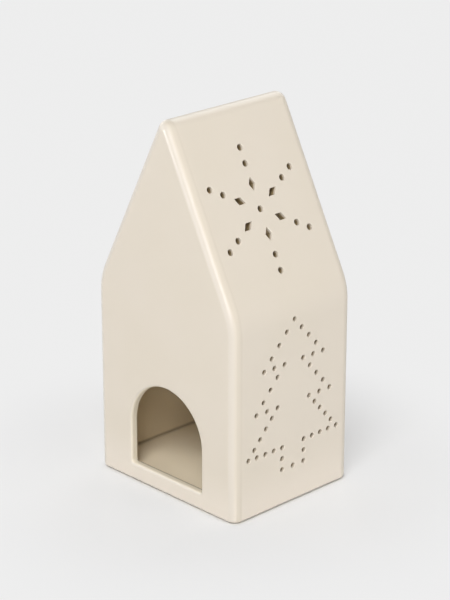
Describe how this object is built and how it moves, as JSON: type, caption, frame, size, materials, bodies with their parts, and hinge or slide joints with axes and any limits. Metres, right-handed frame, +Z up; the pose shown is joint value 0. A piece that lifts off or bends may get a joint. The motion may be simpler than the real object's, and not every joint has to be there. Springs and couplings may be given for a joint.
{
  "type": "tealight house",
  "caption": "Steep-roofed ceramic house that holds a tealight: arched doorway in the gable, snowflake and tree pierced in one roof slope and side wall to let the light out.",
  "frame": {"origin": "middle of the footprint, on the surface that the felt pads stand on", "axes": "+Z up, -Y out of the doorway, +X out of the pierced side wall"},
  "size_m": [0.084, 0.0692, 0.1658],
  "materials": {
    "glaze": "satin cream glaze over slip-cast stoneware",
    "floor_glaze": "satin cream glaze, bare clay underneath",
    "felt": "pressed wool felt",
    "cup_metal": "drawn bright foil",
    "wax": "cast paraffin wax, slightly translucent",
    "cotton": "waxed cotton braid",
    "clip_metal": "stamped tinplate"
  },
  "bodies": {
    "house": {"house_shell": "glaze", "floor_slab": "floor_glaze", "foot_pad_front_left": "felt", "foot_pad_front_right": "felt", "foot_pad_back_left": "felt", "foot_pad_back_right": "felt"},
    "tealight": {"tealight_cup": "cup_metal", "tealight_wax": "wax", "tealight_wick": "cotton", "wick_clip": "clip_metal"}
  },
  "joints": [
    {"name": "tealight_lift_out", "type": "slide", "parent": "house", "child": "tealight", "axis": [0, -0.9848, 0.1736], "range_m": [0, 0.085]}
  ]
}
